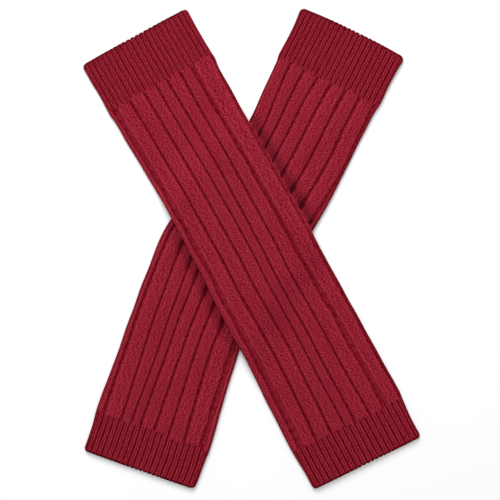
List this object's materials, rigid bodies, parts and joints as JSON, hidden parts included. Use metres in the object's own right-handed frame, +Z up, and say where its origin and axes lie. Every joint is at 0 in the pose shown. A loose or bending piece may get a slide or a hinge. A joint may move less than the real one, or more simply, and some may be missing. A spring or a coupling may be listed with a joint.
{
  "type": "pair of leg warmers",
  "caption": "Pair of rib knit leg warmers: long knitted tubes with wide ribs and narrow-ribbed cuffs, pressed flat and laid crossed, one over the other.",
  "frame": {"origin": "on the surface that the pair lies on, under the middle of the pair", "axes": "+Z up from the surface; +Y towards the top hems, along the pair's longest extent; +X to the right, towards the lower leg warmer's top hem"},
  "size_m": [0.2806, 0.3997, 0.0105],
  "materials": {
    "leg_knit": "matt wide-rib knit in deep red yarn",
    "cuff_knit": "matt narrow-rib knit in deep red yarn"
  },
  "bodies": {
    "root": {"upper_top_cuff": "cuff_knit", "upper_leg_tube": "leg_knit", "upper_bottom_cuff": "cuff_knit", "lower_top_cuff": "cuff_knit", "lower_leg_tube": "leg_knit", "lower_bottom_cuff": "cuff_knit"}
  },
  "joints": []
}
